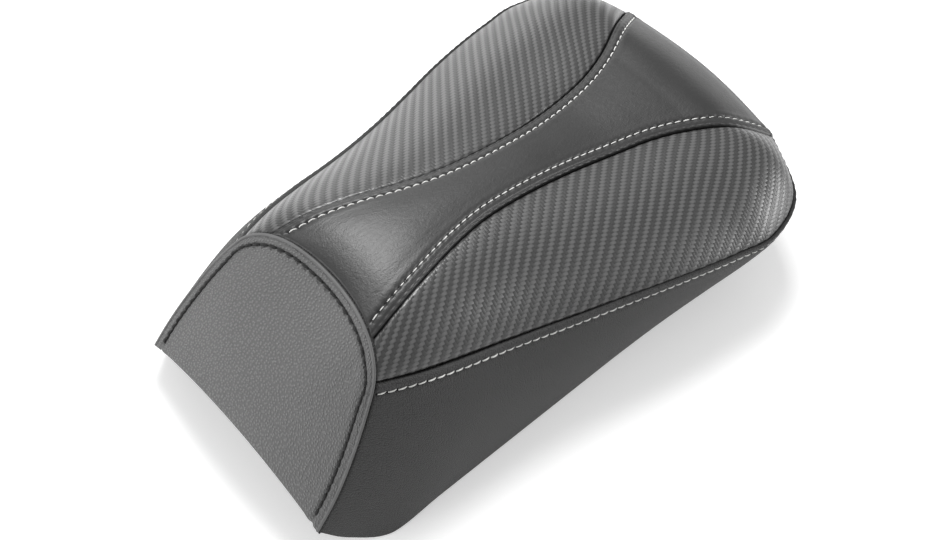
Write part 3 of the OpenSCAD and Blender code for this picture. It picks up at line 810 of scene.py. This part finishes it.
smooth_vinyl = Vinyl("smooth_vinyl", Roughness=0.42, Specular_IOR_Level=0.75)
at = smooth_vinyl.place
pores = smooth_vinyl.cells(at, 1 / (0.8 * MM), "SMOOTH_F1")
wrinkles = smooth_vinyl.noise(smooth_vinyl.stretched(at, (1, 0.35, 1), (0, 0, 0.6)), 620, 4, 0.65, 0.4)
folds = smooth_vinyl.cells(smooth_vinyl.stretched(at, (1, 0.4, 1), (0, 0, -0.5)), 130, "DISTANCE_TO_EDGE")
fold = folds.rise(0.0, 0.10)
cloud = smooth_vinyl.noise(at, 18, 3, 0.5)
creased = smooth_vinyl.noise(at, 35, 2).rise(0.48, 0.62)
# paint adds painted shade to this tone in the seams' grooves and needle holes
smooth_vinyl.paint(smooth_vinyl.mix(cloud * 0.6 + wrinkles * 0.4, grey(0.008), grey(0.018)))
smooth_vinyl.set("Roughness", cloud * 0.08 + 0.37 + wrinkles * 0.08)
smooth_vinyl.bump((fold * creased, 0.10 * MM, 0.30), (wrinkles, 0.30 * MM, 0.7), (pores, 0.10 * MM, 0.6))

ALONG_STATION, ACROSS_STRIP = 36, 144
PANEL_US = np.linspace(0, STATIONS, ALONG_STATION * STATIONS + 1)
DROP_US = STATIONS + REAR_STATIONS * np.linspace(0, 1, ALONG_STATION + 1)[1:]
STRIP_US = np.concatenate([PANEL_US, DROP_US])
strip = Cover("strip", STRIP_US, spread(ACROSS_STRIP, -1, 1), hem_axis=0)
strip_rows = {name: strip.band(upper_seams[name], -side) for name, side in SIDES.items()}
strip.dive(front_seam)
uv = np.stack([strip.lengths(1), strip.lengths(0)], -1)
centre_strip = strip.piece("centre_strip_vinyl", smooth_vinyl, uv)


def fitted(made, node):
    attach(made, "root")
    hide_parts(node)


fitted(centre_strip, "centre_strip")


# ---- side panels ----
# Vinyl embossed with a carbon-fibre twill, cut to a leaf shape and turned down into the seam all
# round. The ribs of the twill run the same way on both sides.

ACROSS_PANEL = 108
TOW = 1.98 * MM
twill = Vinyl("twill_vinyl", Roughness=0.32, Specular_IOR_Level=0.7)
across, along = (
    twill.add("ShaderNodeSeparateXYZ", values={0: twill.uv}, out=k) / TOW for k in (0, 1)
)
tow_across, tow_along = across.math("FLOOR"), along.math("FLOOR")
warp = ((tow_across + tow_along) % 4) < 2


def crown_of(f):
    """The rounded section of a tow, for f from 0 at one edge to 1 at the other."""
    return 1 - (f * 2 - 1) * (f * 2 - 1)


def float_of(turn):
    """The long rise and fall of a tow over the two that it crosses."""
    return turn.math("SINE").math("MAXIMUM", 0)


warp_float = ((tow_across + along) % 4) * (math.pi / 2)
weft_float = ((across + tow_along) % 4) * (math.pi / 2) - math.pi
warp_height = crown_of(across - tow_across) * 0.35 + float_of(warp_float) * 0.65
weft_height = crown_of(along - tow_along) * 0.35 + float_of(weft_float) * 0.65
height = warp * warp_height + (1 - warp) * weft_height
fibre = warp * (across * 50).math("SINE") + (1 - warp) * (along * 50).math("SINE")
wear = twill.noise(twill.place, 26, 3)
# painted highlight: the warp tows are painted lighter towards their crowns and the weft tows darker, as the
# light catches the raised twill; paint adds painted shade in the seams
painted_sheen = warp * (warp_height * 0.7 + 0.3) + (1 - warp) * weft_height * 0.25
twill.paint(twill.mix(painted_sheen, grey(0.015), grey(0.108)))
twill.set("Roughness", 0.29 + wear * 0.06 + (1 - warp) * 0.06)
twill.bump((height, 0.17 * MM, 0.9), (fibre, 0.01 * MM, 0.15))

for name, side in SIDES.items():
    panel = Cover(name + "_panel", PANEL_US, spread(ACROSS_PANEL, 0, 1))
    for seam in (upper_seams[name], lower_seams[name], front_seam):
        panel.dive(seam)
    uv = np.stack([panel.lengths(1) * side, panel.lengths(0)], -1)
    fitted(panel.piece(name + "_twill_panel", twill, uv), name + "_side_panel")


# ---- skirts ----
# Fine-grained matt vinyl down each flank, stitched down along the lower seam, stretched over the
# edge of the pan and turned under it.

grained = Vinyl("grained_vinyl", Roughness=0.58, Specular_IOR_Level=0.4)
grain = 1 - grained.cells(grained.uv, 1 / (1.0 * MM), "F1", "2D", randomness=0.8)
fine = grained.noise(grained.place, 900, 2)
cloud = grained.noise(grained.place, 30, 4)
# paint adds painted shade to this tone in the seams' grooves and needle holes
grained.paint(grained.mix(grain * 0.7 + cloud * 0.3, grey(0.020), grey(0.048)))
grained.set("Roughness", 0.52 + grain * 0.1 + cloud * 0.06)
grained.bump((cloud, 0.8 * MM, 0.2), (grain, 0.50 * MM, 1.0), (fine, 0.03 * MM, 0.3))

DOWN_SKIRT = 112
skirt_rows = {}
skirts = {}
for name, side in SIDES.items():
    skirt = Cover(name + "_skirt", PANEL_US, spread(DOWN_SKIRT, 0, 1), hem_axis=1)
    skirt_rows[name] = skirt.band(lower_seams[name], side)
    skirt.dive(rear_seams[name])
    skirt.dive(front_seam)
    skirts[name] = skirt
    uv = np.stack([skirt.lengths(1), skirt.lengths(0)], -1)
    fitted(skirt.piece(name + "_skirt_vinyl", grained, uv), name + "_skirt")


# ---- front panel ----
# A heavier vinyl with a coarse pebble grain closes the front. Its edge is folded under over the
# top and down both sides, and stitched down with black thread.

pebbled = Vinyl("pebbled_vinyl", Roughness=0.62, Specular_IOR_Level=0.4)
pebble = pebbled.cells(pebbled.uv, 1 / (1.95 * MM), "F1", "2D", randomness=0.7)
pebble_height_and_highlight = 1 - pebble.rise(0.08, 0.50)
cloud = pebbled.noise(pebbled.place, 25, 4)
fine = pebbled.noise(pebbled.place, 1100, 2)
# painted highlight: the pebbles' raised tops are painted lighter, with random tone from the cloud; paint adds
# painted shade in the seams and needle holes
pebbled.paint(pebbled.mix(pebble_height_and_highlight * 0.75 + cloud * 0.25, grey(0.098), grey(0.18)), 0.5 * MM, 0.5 * MM)
pebbled.set("Roughness", 0.64 - pebble_height_and_highlight * 0.1)
pebbled.bump((pebble_height_and_highlight, 0.42 * MM, 1.0), (fine, 0.03 * MM, 0.3))

DOWN_FRONT, ACROSS_FRONT = 128, 160
front = Cover("front", spread(DOWN_FRONT, 0, 1), spread(ACROSS_FRONT, -2, 2), hem_axis=0)
front_row = front.band(front_seam, -1, swell=0.45 * MM)
uv = np.stack([front.lengths(1), front.lengths(0)], -1)
fitted(front.piece("front_panel_vinyl", pebbled, uv), "front_panel")


# ---- topstitching ----
# Bonded polyester thread in a long lockstitch, one stitch per PITCH: each stitch lies in the valley
# of its row and dives through a needle hole at both ends.


class Growth(Tree):
    """A Geometry Nodes tree with named inputs, run once over a line of points."""

    def __init__(self, name, **inputs):
        group = bpy.data.node_groups.new(name, "GeometryNodeTree")
        super().__init__(group)
        group.interface.new_socket("Line", in_out="INPUT", socket_type="NodeSocketGeometry")
        self.sockets = {}
        for label, value in inputs.items():
            kind = "NodeSocketInt" if isinstance(value, int) else "NodeSocketFloat"
            socket = group.interface.new_socket(label, in_out="INPUT", socket_type=kind)
            socket.default_value = value
            self.sockets[label] = socket.identifier
        group.interface.new_socket("Mesh", in_out="OUTPUT", socket_type="NodeSocketGeometry")
        self.entry = group.nodes.new("NodeGroupInput")
        self.line = Link(self, self.entry.outputs[0])

    def given(self, label):
        return Link(self, self.entry.outputs[label])

    def end(self, geometry, finish):
        plain = self.add("GeometryNodeRealizeInstances", values={0: geometry})
        smooth_faces = self.add("GeometryNodeSetShadeSmooth", values={0: plain})
        named = self.add("GeometryNodeSetMaterial", values={0: smooth_faces, "Material": finish.material})
        leave = self.tree.nodes.new("NodeGroupOutput")
        self.tree.links.new(named.socket, leave.inputs[0])

    def grow(self, name, points, ups, **values):
        """Runs the tree over a line, and gives the result as a plain mesh object."""
        mesh = bpy.data.meshes.new(name)
        edges = [(k, k + 1) for k in range(len(points) - 1)]
        mesh.from_pydata(points.tolist(), edges, [])
        mesh.attributes.new("up", "FLOAT_VECTOR", "POINT").data.foreach_set("vector", ups.ravel())
        made = bpy.data.objects.new(name, mesh)
        scene.collection.objects.link(made)
        grown = made.modifiers.new("grown", "NODES")
        grown.node_group = self.tree
        for label, value in values.items():
            grown[self.sockets[label]] = value
        result = bpy.data.meshes.new_from_object(made.evaluated_get(bpy.context.evaluated_depsgraph_get()))
        made.modifiers.clear()
        made.data = result
        return made


def stitch_growth(name, finish, sides=8, steps=7):
    """One stitch per interval of the line: an arc of thread, with its ends below the surface."""
    tree = Growth(name, count=10, length=3.6 * MM, thread=0.9 * MM, slant=0.0)
    length, thread = tree.given("length"), tree.given("thread")

    def knot(x, z):
        return tree.add("ShaderNodeCombineXYZ", values={0: x, 2: z})

    arc = tree.add("GeometryNodeCurveQuadraticBezier", values={
        "Resolution": steps, "Start": knot(length * -0.5, thread * -0.75),
        "Middle": knot(0.0, thread * 0.95), "End": knot(length * 0.5, thread * -0.75),
    })
    twist = tree.add("GeometryNodeSplineParameter", out="Length")
    store = "GeometryNodeStoreNamedAttribute"
    arc = tree.add(store, {"domain": "POINT"}, {0: arc, "Name": "run", "Value": twist})
    ring = tree.add("GeometryNodeCurvePrimitiveCircle", values={"Resolution": sides, "Radius": thread * 0.5})
    around = tree.add("GeometryNodeSplineParameter", out="Factor")
    ring = tree.add(store, {"domain": "POINT"}, {0: ring, "Name": "round", "Value": around})
    tube = {"Curve": arc, "Profile Curve": ring, "Fill Caps": True}
    stitch = tree.add("GeometryNodeCurveToMesh", values=tube)
    curve = tree.add("GeometryNodeMeshToCurve", values={0: tree.line})
    places = tree.add("GeometryNodeResampleCurve", values={"Curve": curve, "Count": tree.given("count")})
    up = tree.add("GeometryNodeInputNamedAttribute", {"data_type": "FLOAT_VECTOR"}, {"Name": "up"})
    heading = tree.add("GeometryNodeInputTangent")
    facing = tree.add(
        "FunctionNodeAxesToRotation", {"primary_axis": "Z", "secondary_axis": "X"}, {0: up, 1: heading}
    )
    turn = {"Axis": (0, 0, 1), "Angle": tree.given("slant")}
    slant = tree.add("FunctionNodeAxisAngleToRotation", values=turn)
    facing = tree.add("FunctionNodeRotateRotation", {"rotation_space": "LOCAL"}, {0: facing, 1: slant})
    stitches = tree.add("GeometryNodeInstanceOnPoints", values={
        "Points": places, "Instance": stitch, "Rotation": facing,
    })
    tree.end(stitches, finish)
    return tree


def thread_finish(name, dark, light):
    """Two plies twisted together: the run along the thread and the way round it make the twist."""
    finish = Finish(name, Roughness=0.6, Specular_IOR_Level=0.4)
    ply = (finish.attribute("run") * (1 / (1.1 * MM)) + finish.attribute("round")) * (4 * math.pi)
    ply = ply.math("SINE").math("ABSOLUTE")
    finish.set("Base Color", finish.mix(ply, dark, light))
    finish.bump((ply, 0.12 * MM, 0.7))
    return finish


white_thread = thread_finish("white_thread", (0.62, 0.62, 0.60, 1), (0.90, 0.90, 0.88, 1))
black_thread = thread_finish("black_thread", grey(0.006), grey(0.022))
white_stitches = stitch_growth("white_stitches", white_thread)
black_stitches = stitch_growth("black_stitches", black_thread)


def stitched(tree, piece_name, cover, row, node, lift, length, thread, slant=0.0, ends=(0, 0)):
    """Sews one row. ends are the stitches left out at its start and at its end."""
    line, ups = row
    points, ups = cover.laid(line, ups, lift)
    reach = line.along / line.pitch
    inside = (reach >= 0.5 + ends[0]) & (reach <= line.stitches - 0.5 - ends[1])
    made = tree.grow(
        piece_name, points[inside], ups[inside], count=line.stitches - ends[0] - ends[1],
        length=length, thread=thread, slant=slant,
    )
    fitted(made, node)
    return made


for name, side in SIDES.items():
    stitched(white_stitches, name + "_upper_thread", strip, strip_rows[name], name + "_upper_stitching",
             0.15 * MM, 3.7 * MM, 0.82 * MM, ends=(0, 1))
    stitched(white_stitches, name + "_lower_thread", skirts[name], skirt_rows[name],
             name + "_lower_stitching", 0.15 * MM, 4.3 * MM, 0.9 * MM,
             slant=0.12 * side, ends=(0, 1))
stitched(black_stitches, "front_thread", front, front_row, "front_stitching",
         0.75 * MM, 4.2 * MM, 1.7 * MM, ends=(1, 1))


# ---- front welt ----
# The folded edge of the front panel stands up as a thin round ridge along the seam.

welt_vinyl = Finish("welt_vinyl", Roughness=0.5, Specular_IOR_Level=0.45)
worn = welt_vinyl.noise(welt_vinyl.place, 60, 3)
welt_vinyl.set("Base Color", welt_vinyl.mix(worn, grey(0.085), grey(0.14)))
welt_vinyl.set("Roughness", 0.45 + worn * 0.15)
welt_vinyl.bump((welt_vinyl.cells(welt_vinyl.place, 1 / (0.8 * MM), "SMOOTH_F1"), 0.08 * MM, 0.5))

welt = Growth("welt_sweep", radius=0.85 * MM)
ring = welt.add("GeometryNodeCurvePrimitiveCircle", values={"Resolution": 12, "Radius": welt.given("radius")})
path = welt.add("GeometryNodeMeshToCurve", values={0: welt.line})
tube = {"Curve": path, "Profile Curve": ring, "Fill Caps": True}
welt.end(welt.add("GeometryNodeCurveToMesh", values=tube), welt_vinyl)
points, ups = front.inside(front_seam, 0.9 * MM, -1)
fitted(welt.grow("front_welt", points + ups * 0.1 * MM, ups), "front_edge_welt")


# ---- staples ----
# Galvanised wire staples hold the turned cover to the pan, their crowns flat against the vinyl.

staple_wire = Finish("staple_wire", Metallic=1.0, Roughness=0.35)
dull = staple_wire.noise(staple_wire.place, 300, 3)
staple_wire.set("Base Color", staple_wire.mix(dull, grey(0.45), grey(0.68)))
staple_wire.set("Roughness", 0.28 + dull * 0.25)
staple_wire.bump((dull, 0.05 * MM, 0.3))


# ---- underside ----
# The pan, its rails and brackets, the felt and the rubber pads are shaped in the frame already,
# and take their finishes here.


def dress(node, finish):
    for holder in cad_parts[node].material_slots:
        holder.material = finish.material


dress("hem_staples", staple_wire)

pan_plastic = Finish("pan_plastic", Roughness=0.55, Specular_IOR_Level=0.45)
texture = pan_plastic.cells(pan_plastic.place, 1 / (0.6 * MM), "SMOOTH_F1")
flow = pan_plastic.noise(pan_plastic.stretched(pan_plastic.place, (1, 0.4, 1)), 30, 3)
pan_plastic.set("Base Color", pan_plastic.mix(flow, grey(0.024), grey(0.036)))
pan_plastic.set("Roughness", 0.5 + texture * 0.15)
pan_plastic.bump((flow, 0.3 * MM, 0.2), (texture, 0.06 * MM, 0.6))
dress("base_pan", pan_plastic)

hem_vinyl = Finish("hem_vinyl", Roughness=0.6, Specular_IOR_Level=0.4)
grain = hem_vinyl.cells(hem_vinyl.place, 1 / (0.95 * MM), "SMOOTH_F1")
stretch = hem_vinyl.noise(hem_vinyl.stretched(hem_vinyl.place, (1, 6, 1)), 40, 3)
hem_vinyl.set("Base Color", hem_vinyl.mix(grain, grey(0.026), grey(0.042)))
hem_vinyl.set("Roughness", 0.52 + stretch * 0.15)
hem_vinyl.bump((stretch, 0.6 * MM, 0.35), (grain, 0.1 * MM, 0.5))
dress("cover_hem", hem_vinyl)

felt = Finish("needle_felt", Roughness=0.95, Specular_IOR_Level=0.1)
lint = felt.noise(felt.place, 1400, 6, 0.75, 1.5)
tuft = felt.noise(felt.place, 220, 4, 0.6)
flecks = lint.rise(0.62, 0.72)
felt.set("Base Color", felt.mix(flecks, felt.mix(tuft, grey(0.05), grey(0.11)), grey(0.24)))
felt.bump((tuft, 0.8 * MM, 0.5), (lint, 0.3 * MM, 0.7))
dress("fender_liner", felt)

rubber = Finish("pad_rubber", Roughness=0.75, Specular_IOR_Level=0.35)
dust = rubber.noise(rubber.place, 90, 4)
rubber.set("Base Color", rubber.mix(dust.rise(0.4, 0.75), grey(0.016), grey(0.034)))
rubber.set("Roughness", 0.65 + dust * 0.2)
rubber.bump((rubber.noise(rubber.place, 700, 3), 0.06 * MM, 0.5))
dress("fender_pads", rubber)

powder_coat = Finish("powder_coat", Roughness=0.38, Specular_IOR_Level=0.5)
peel = powder_coat.noise(powder_coat.place, 900, 2)
scuff = powder_coat.noise(powder_coat.place, 160, 5, 0.7)
rubbed = scuff.rise(0.66, 0.74)
powder_coat.set("Base Color", powder_coat.mix(rubbed, grey(0.026), grey(0.32)))
powder_coat.set("Metallic", rubbed)
powder_coat.set("Roughness", 0.34 + peel * 0.12)
powder_coat.bump((peel, 0.05 * MM, 0.5))
dress("front_tongue", powder_coat)
dress("rear_bracket", powder_coat)

rivet_metal = Finish("rivet_metal", Metallic=1.0, Roughness=0.4)
brushed = rivet_metal.noise(rivet_metal.place, 500, 4)
rivet_metal.set("Base Color", rivet_metal.mix(brushed, grey(0.55), grey(0.74)))
rivet_metal.set("Roughness", 0.32 + brushed * 0.25)
rivet_metal.bump((brushed, 0.04 * MM, 0.4))
dress("front_tongue_rivets", rivet_metal)
dress("rear_bracket_rivets", rivet_metal)
